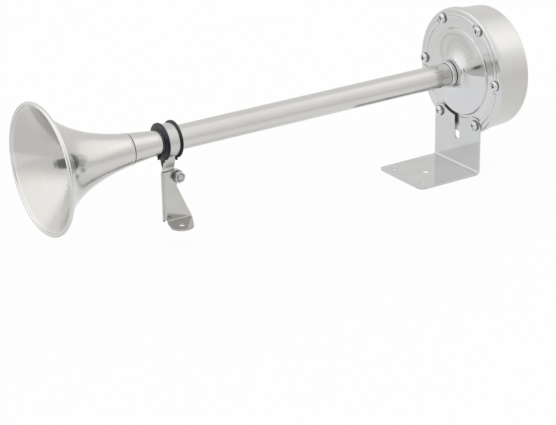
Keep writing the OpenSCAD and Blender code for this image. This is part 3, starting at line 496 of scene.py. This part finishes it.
def add_prism(bm, one, two):
    """Two end faces from lists of vertices, and the sides between them."""
    bm.faces.new(one)
    bm.faces.new(two)
    for i in range(len(one)):
        j = (i + 1) % len(one)
        bm.faces.new((one[i], one[j], two[j], two[i]))


def flatten(o, name):
    """The object with its modifiers applied, as a plain mesh."""
    deps = bpy.context.evaluated_depsgraph_get()
    me = bpy.data.meshes.new_from_object(o.evaluated_get(deps))
    me.name = name
    return me


def carve(name, mesh, cutter_mesh, operation="DIFFERENCE"):
    """One mesh cut by another, or what the two share."""
    body = new_object(name + "_blank", mesh)
    cutter = new_object(name + "_cutter", cutter_mesh)
    m = body.modifiers.new("recess", "BOOLEAN")
    m.operation = operation
    m.solver = "EXACT"
    m.use_self = True
    m.object = cutter
    me = flatten(body, name)
    bpy.data.objects.remove(body)
    bpy.data.objects.remove(cutter)
    return me


def cross_cutter(name, top, reach, width, depth):
    """Tapered cross that a cross-head driver fits, sunk towards +x from x = top."""
    ends = ((-0.4 * depth, reach * 1.08, width / 2 * 1.1), (depth, reach * 0.45, width / 2 * 0.75))
    bm = bmesh.new()
    for turn in (0.0, math.pi / 2):
        c, s = math.cos(turn), math.sin(turn)
        ring = []
        for along, long_half, short_half in ends:
            for side_y, side_z in ((-1, -1), (1, -1), (1, 1), (-1, 1)):
                y, z = side_y * long_half, side_z * short_half
                ring.append(bm.verts.new((along, y * c - z * s, y * s + z * c)))
        add_prism(bm, ring[:4], ring[4:])
    me = closed_mesh(bm, name)
    for v in me.vertices:
        v.co.x += top
    return me


def domed_head(radius, height):
    """Profile of a pan head from its crown at x = -height to its seat at x = 0."""
    edge, flat, steps = 0.30, 0.35, 12   # height of the wall, width of the crown, points of the arc
    pts = [(-height, 0.0)]
    for i in range(steps, -1, -1):
        t = math.pi / 2 * i / steps
        along = -height * (edge + (1 - edge) * math.sin(t))
        pts.append((along, radius * (flat + (1 - flat) * math.cos(t))))
    pts.append((-0.06 * height, radius))
    pts.append((0.0, radius * 0.97))
    return pts


# ---------- cover screws ----------
SCREW_COUNT = 6
SCREW_CIRCLE = 46.0 * MM
SCREW_R, SCREW_LEN, SCREW_CHAMFER = 2.0 * MM, 10.4 * MM, 0.4 * MM
HEAD_R, HEAD_H = 4.2 * MM, 2.2 * MM
RECESS = (2.25 * MM, 1.05 * MM, 1.5 * MM)   # reach, width and depth of the cross
LOCK_WASHER = 0.8          # thickness under each head, in millimetres
LOCK_T = LOCK_WASHER * MM
FOOT_T = 1.4 * MM          # the bracket's sheet under the two lowest screws
BRACKET_BELOW = 30.0       # screws further than this below the axis stand on the bracket
TURN_SEED = 4


def screw_mesh():
    end = LOCK_T + SCREW_LEN
    shank = [(0.0, SCREW_R), (end - SCREW_CHAMFER, SCREW_R), (end, SCREW_R - SCREW_CHAMFER),
             (end, 0.0)]
    blank = turned("cover_screw_blank", domed_head(HEAD_R, HEAD_H) + shank)
    return carve("cover_screw", blank, cross_cutter("cross_recess", -HEAD_H, *RECESS))


def screw_ring(one):
    """Six screws on the cover's circle; the two lowest stand on the bracket's sheet."""
    inputs = (
        ("Screw", "NodeSocketObject", one),
        ("Finish", "NodeSocketMaterial", m_screw),
        ("Count", "NodeSocketInt", SCREW_COUNT),
        ("Circle Radius", "NodeSocketFloat", SCREW_CIRCLE),
        ("Seat X", "NodeSocketFloat", (SEAT - LOCK_WASHER) * MM),
        ("Axis Z", "NodeSocketFloat", AXIS_H * MM),
        ("Bracket Sheet", "NodeSocketFloat", FOOT_T),
        ("Bracket Below Z", "NodeSocketFloat", (AXIS_H - BRACKET_BELOW) * MM),
        ("Seed", "NodeSocketInt", TURN_SEED),
    )
    group = bpy.data.node_groups.new("screws_on_circle", "GeometryNodeTree")
    face = group.interface
    face.new_socket("Geometry", in_out="OUTPUT", socket_type="NodeSocketGeometry")
    keys = {label: face.new_socket(label, in_out="INPUT", socket_type=kind).identifier
            for label, kind, _ in inputs}
    t = Tree(group)
    given = t.add("NodeGroupInput").outputs

    # a circle of points in the plane of the cover's seat
    circle = t.add("GeometryNodeMeshCircle")
    t.join(given["Count"], circle.inputs["Vertices"])
    t.join(given["Circle Radius"], circle.inputs["Radius"])
    points = circle.outputs[0]
    for turn in ((0.0, math.pi / 2, 0.0), (math.pi / SCREW_COUNT, 0.0, 0.0)):
        upright = t.add("GeometryNodeTransform")
        upright.inputs["Rotation"].default_value = turn
        t.join(points, upright.inputs["Geometry"])
        points = upright.outputs[0]
    move = t.add("GeometryNodeTransform")
    t.join(points, move.inputs["Geometry"])
    t.join(t.xyz(given["Seat X"], 0.0, given["Axis Z"]), move.inputs["Translation"])

    # the points over the bracket come forward by its sheet
    low = t.add("FunctionNodeCompare", operation="LESS_THAN")
    t.join(t.split(t.add("GeometryNodeInputPosition").outputs[0])[2], low.inputs[0])
    t.join(given["Bracket Below Z"], low.inputs[1])
    lift = t.add("GeometryNodeSetPosition")
    t.join(move.outputs[0], lift.inputs["Geometry"])
    t.join(low.outputs[0], lift.inputs["Selection"])
    t.join(t.xyz(t.times(given["Bracket Sheet"], -1.0), 0.0, 0.0), lift.inputs["Offset"])

    # a screw on each, its cross turned by chance
    info = t.add("GeometryNodeObjectInfo")
    t.join(given["Screw"], info.inputs["Object"])
    rand = t.add("FunctionNodeRandomValue", data_type="FLOAT_VECTOR")
    rand.inputs[0].default_value = (0.0, 0.0, 0.0)
    rand.inputs[1].default_value = (math.pi / 2, 0.0, 0.0)
    t.join(given["Seed"], rand.inputs["Seed"])
    inst = t.add("GeometryNodeInstanceOnPoints")
    t.join(lift.outputs[0], inst.inputs["Points"])
    t.join(info.outputs["Geometry"], inst.inputs["Instance"])
    t.join(rand.outputs[0], inst.inputs["Rotation"])
    real = t.add("GeometryNodeRealizeInstances")
    t.join(inst.outputs[0], real.inputs[0])
    paint = t.add("GeometryNodeSetMaterial")
    t.join(real.outputs[0], paint.inputs["Geometry"])
    t.join(given["Finish"], paint.inputs["Material"])
    t.join(paint.outputs[0], t.add("NodeGroupOutput").inputs[0])

    holder = new_object("cover_screw_ring", bpy.data.meshes.new("empty_ring"))
    mod = holder.modifiers.new("screws", "NODES")
    mod.node_group = group
    for label, _, value in inputs:
        mod[keys[label]] = value
    me = flatten(holder, "screw_heads")
    bpy.data.objects.remove(holder)
    return me


one_screw = new_object("one_screw", screw_mesh())
ring_mesh = screw_ring(one_screw)
bpy.data.objects.remove(one_screw)
ring_mesh.materials.clear()   # the circle of points brings an empty slot of its own
ring_mesh.materials.append(m_screw)
smooth(ring_mesh)
screws = new_object("screw_heads", ring_mesh)
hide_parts("cover_screws")
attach(screws, "root")


# ---------- the clamp's bolt and nut: places and sizes in millimetres ----------
BOLT_X, BOLT_Z = -218.4, 52.0
BOLT_HEAD_Y, NUT_Y = 1.025, -3.375
BOLT_R, BOLT_PITCH, BOLT_END = 2.45, 0.8, 1.0
BOLT_HEAD_R, BOLT_HEAD_H = 4.6, 3.4
BOLT_RECESS = (2.6 * MM, 1.2 * MM, 1.9 * MM)   # reach, width and depth of the cross
BOLT_CHAMFER = 0.6
THREAD_DEPTH, THREAD_RUNOUT = 0.42, 2.0
THREAD_SLOPE, THREAD_FLAT = 1.35, 0.17         # steepness of the flanks, width of the flat crests
BOLT_AROUND, STEPS_PER_TURN = 48, 8
NUT_FLATS, NUT_T, NUT_TURN = 8.0, 3.6, 12.0
NUT_FACE = 0.96                                # round face as a share of the width over flats
NUT_CHAMFER = 30                               # degrees
NUT_SLIP, NUT_SINK, CUT_OVER = 0.1, 0.35, 0.5


def threaded_bolt():
    """Pan-head bolt along +x, with one continuous helical thread on its shank."""
    length = (BOLT_HEAD_Y - NUT_Y + NUT_T + BOLT_END) * MM
    pitch = BOLT_PITCH * MM
    rings = [ring_at(along, radius, BOLT_AROUND)
             for along, radius in domed_head(BOLT_HEAD_R * MM, BOLT_HEAD_H * MM)]
    steps = int(round(length / pitch * STEPS_PER_TURN))
    for k in range(steps + 1):
        along = length * k / steps
        runout = min(1.0, along / (THREAD_RUNOUT * MM))
        taper = max(0.0, along - (length - BOLT_CHAMFER * MM))
        ring = []
        for i in range(BOLT_AROUND):
            a = 2 * math.pi * i / BOLT_AROUND
            phase = (along / pitch - i / BOLT_AROUND) % 1.0
            groove = THREAD_SLOPE * abs(2.0 * phase - 1.0) - THREAD_FLAT
            groove = min(1.0, max(0.0, groove))
            radius = (BOLT_R - THREAD_DEPTH * groove * runout) * MM
            radius = min(radius, BOLT_R * MM - taper)
            ring.append((along, radius * math.cos(a), radius * math.sin(a)))
        rings.append(ring)
    rings.append(ring_at(length, 0, 1))
    blank = skin("clamp_bolt_blank", rings)
    cutter = cross_cutter("bolt_recess", -BOLT_HEAD_H * MM, *BOLT_RECESS)
    return carve("clamp_bolt_detail", blank, cutter)


def chamfered_nut():
    """Hexagon nut along +x with both faces chamfered and a countersunk bore."""
    corner = NUT_FLATS / math.sqrt(3) * MM
    face = NUT_FLATS / 2 * MM * NUT_FACE
    t = NUT_T * MM
    bm = bmesh.new()
    add_prism(bm, *([bm.verts.new(p) for p in ring_at(x, corner, 6)] for x in (0.0, t)))
    prism = closed_mesh(bm, "nut_prism")
    drop = (corner - face) * math.tan(math.radians(NUT_CHAMFER))
    body = turned("nut_body", [(0.0, 0.0), (0.0, face), (drop, corner), (t - drop, corner),
                               (t, face), (t, 0.0)], 96)
    blank = carve("nut_blank", prism, body, "INTERSECT")
    bore, sink, over = (BOLT_R + NUT_SLIP) * MM, NUT_SINK * MM, CUT_OVER * MM
    wide = bore + sink + over
    hole = turned("nut_hole", [(-over, 0.0), (-over, wide), (sink, bore), (t - sink, bore),
                               (t + over, wide), (t + over, 0.0)])
    return carve("clamp_nut_detail", blank, hole)


def along_bolt(me, start_y, turn=0.0):
    """Stand a part made along +x on the bolt's axis, which runs towards -y."""
    place = Matrix.Translation(Vector((BOLT_X, start_y, BOLT_Z)) * MM)
    aim = Matrix.Rotation(math.radians(-90), 4, "Z")
    me.transform(place @ aim @ Matrix.Rotation(math.radians(turn), 4, "X"))
    return me


for piece_name, mesh, node in (
        ("clamp_bolt_detail", along_bolt(threaded_bolt(), BOLT_HEAD_Y), "clamp_bolt"),
        ("clamp_nut_detail", along_bolt(chamfered_nut(), NUT_Y, NUT_TURN), "clamp_nut")):
    mesh.materials.clear()
    mesh.materials.append(LOOK[node])
    smooth(mesh, 30)
    piece = new_object(piece_name, mesh)
    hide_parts(node)
    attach(piece, "root")


# ---------- floor: metres on the ground, tones that only polished metal sees ----------
FLOOR_HALF = 6.0
TABLE_Y = (-0.5, 0.5)
TABLE_TONES = (
    (0.0, (0.80, 0.79, 0.765)), (0.20, (0.84, 0.83, 0.81)), (0.38, (0.945, 0.94, 0.93)),
    (0.62, (0.96, 0.965, 0.975)), (0.76, (0.90, 0.895, 0.88)), (0.86, (0.87, 0.865, 0.84)),
    (0.90, (0.66, 0.645, 0.60)), (0.94, (0.86, 0.85, 0.82)), (1.0, (0.84, 0.83, 0.80)),
)
BELL_ZONE_X, BELL_ZONE_TONE = ((-0.56, -0.52), (-0.40, -0.27)), (0.76, 0.755, 0.735)
EDGE_X, EDGE_HALF, EDGE_SHARE, EDGE_TONE = -0.535, (0.006, 0.016), 0.45, (0.50, 0.47, 0.42)
RIGHT_X, RIGHT_SHARE, RIGHT_TONE = (0.05, 0.14), 0.7, (0.76, 0.755, 0.74)
SHADE_X, SHADE_HALF_Y = ((-0.40, -0.33), (-0.12, -0.02)), (0.015, 0.06)
SHADE_SHARE, SHADE_TONE = 0.26, (0.30, 0.30, 0.29)
GLOW_SHARE = 0.93   # the rest is matt white, which takes the shadow


def table_tones(t, x, y):
    """White table with shade far off, left of the bell, on the right and under the horn."""
    table = t.ramp(t.range(y, *TABLE_Y, 0.0, 1.0), TABLE_TONES)
    near_bell = t.times(t.range(x, *BELL_ZONE_X[1], 1.0, 0.0),
                        t.range(x, *BELL_ZONE_X[0], 0.0, 1.0))
    table = t.mix(near_bell, table, BELL_ZONE_TONE)
    off_edge = t.math("ABSOLUTE", t.math("ADD", x, -EDGE_X))
    table = t.mix(t.range(off_edge, *EDGE_HALF, EDGE_SHARE, 0.0), table, EDGE_TONE)
    table = t.mix(t.range(x, *RIGHT_X, 0.0, RIGHT_SHARE), table, RIGHT_TONE)
    under = t.times(t.range(t.math("ABSOLUTE", y), *SHADE_HALF_Y, SHADE_SHARE, 0.0),
                    t.range(x, *SHADE_X[0], 0.0, 1.0), t.range(x, *SHADE_X[1], 1.0, 0.0))
    return t.mix(under, table, SHADE_TONE)


def make_floor():
    """Pale floor, white to the camera with a faint shadow; metal sees the table's tones."""
    me = bpy.data.meshes.new("floor")
    s = FLOOR_HALF
    me.from_pydata([(-s, -s, 0), (s, -s, 0), (s, s, 0), (-s, s, 0)], [], [(0, 1, 2, 3)])
    o = new_object("floor", me)
    t = MaterialTree("floor_white")
    t.put("Base Color", (0.95, 0.95, 0.95))
    t.put("Roughness", 0.9)
    t.put("Specular IOR Level", 0.1)
    x, y, _ = t.split(t.coords())
    rays = t.add("ShaderNodeLightPath").outputs
    glow = t.add("ShaderNodeEmission")
    t.join(t.mix(rays["Is Camera Ray"], table_tones(t, x, y), WHITE), glow.inputs["Color"])
    glow.inputs["Strength"].default_value = 1.0
    seen = t.math("ADD", t.math("ADD", rays["Is Camera Ray"], rays["Is Glossy Ray"]),
                  rays["Is Transmission Ray"], clamp=True)
    t.mix_shaders(t.times(seen, GLOW_SHARE), t.bsdf.outputs[0], glow.outputs[0], t.out)
    me.materials.append(t.mat)


# ---------- the room that the metal mirrors ----------
WALL_TONES = (
    (0.0, (0.82, 0.81, 0.785)), (0.35, (0.85, 0.84, 0.815)), (0.75, (0.88, 0.875, 0.86)),
    (1.0, (0.95, 0.95, 0.94)),
)
ROOM_LIGHTS = (
    # towards, where it starts and is full (cosine of the angle from its middle), strength, colour
    ((-0.79, 0.21, 0.57), 0.60, 0.93, 0.36, (1.0, 0.99, 0.965)),
    ((0.882, -0.124, 0.454), 0.80, 0.98, 0.34, (1.0, 0.98, 0.95)),
    ((0.354, -0.612, 0.707), 0.62, 0.97, 0.08, (1.0, 0.98, 0.95)),
    ((-0.34, 0.93, 0.12), 0.86, 0.98, 0.09, (1.0, 1.0, 1.0)),
)
ROOM_GREY = (0.90, 0.90, 0.90)   # what lights the matt surfaces


def make_world():
    """White studio. The camera sees white; metal sees pale walls and broad soft boxes."""
    w = bpy.data.worlds.new("studio")
    scene.world = w
    w.use_nodes = True
    t = Tree(w.node_tree)
    towards = t.coords("Generated")
    room = t.ramp(t.split(towards)[2], WALL_TONES)
    for middle, start, full, strength, tone in ROOM_LIGHTS:
        dot = t.add("ShaderNodeVectorMath", operation="DOT_PRODUCT")
        t.join(towards, dot.inputs[0])
        dot.inputs[1].default_value = middle
        soft = t.range(dot.outputs["Value"], start, full, 0.0, strength, "SMOOTHSTEP")
        room = t.mix(soft, room, tone, "ADD")
    rays = t.add("ShaderNodeLightPath").outputs
    by_metal = t.math("MAXIMUM", rays["Is Glossy Ray"], rays["Is Transmission Ray"])
    seen = t.mix(rays["Is Camera Ray"], t.mix(by_metal, ROOM_GREY, room), WHITE)
    background = t.t.nodes["Background"]
    t.join(seen, background.inputs["Color"])
    background.inputs["Strength"].default_value = 1.0


def dark_card(name, place, aim, half_w, half_h, grey):
    """Something dark beside the set, such as the camera's stand, with a soft outline.

    Only polished metal sees it.
    """
    steps, soft_from = 48, 0.85
    angles = [2 * math.pi * i / steps for i in range(steps)]
    ring = [(half_w * math.cos(a), half_h * math.sin(a), 0.0) for a in angles]
    me = bpy.data.meshes.new(name)
    me.from_pydata(ring, [], [tuple(range(steps))])
    o = new_object(name, me)
    o.location = place
    o.rotation_euler = (Vector(aim) - o.location).to_track_quat("Z", "Y").to_euler()
    t = MaterialTree(name + "_grey")
    obj = t.coords()
    x, y, _ = t.split(obj)
    away = t.length(t.math("DIVIDE", x, half_w), t.math("DIVIDE", y, half_h))
    body = t.add("ShaderNodeEmission")
    cloud = t.noise(obj, *CARD_CLOUD)
    tone = t.ramp(cloud, [(0.35, scaled(grey, 0.8)), (0.65, scaled(grey, 1.2))])
    t.join(tone, body.inputs["Color"])
    clear = t.add("ShaderNodeBsdfTransparent")
    glossy = t.add("ShaderNodeLightPath").outputs["Is Glossy Ray"]
    shown = t.times(glossy, t.range(away, soft_from, 1.0, 1.0, 0.0))
    t.mix_shaders(shown, clear.outputs[0], body.outputs[0], t.out)
    me.materials.append(t.mat)


def lamp(name, aim, direction, distance, size, watts):
    """Square lamp that looks at aim from a direction."""
    d = bpy.data.lights.new(name, "AREA")
    d.energy = watts
    d.size = size
    o = new_object(name, d)
    o.location = aim + Vector(direction).normalized() * distance
    o.rotation_euler = (aim - o.location).to_track_quat("-Z", "Y").to_euler()


make_floor()
make_world()
dark_card("camera_stand", (-0.56, -0.45, 0.25), (0.0, 0.0, 0.08), 0.125, 0.19, (0.17, 0.17, 0.16))
lamp("softbox", Vector((-0.12, 0.0, 0.08)), (0.40, -0.45, 0.80), 2.4, 2.2, 1.0)
scene.view_settings.view_transform = "Standard"
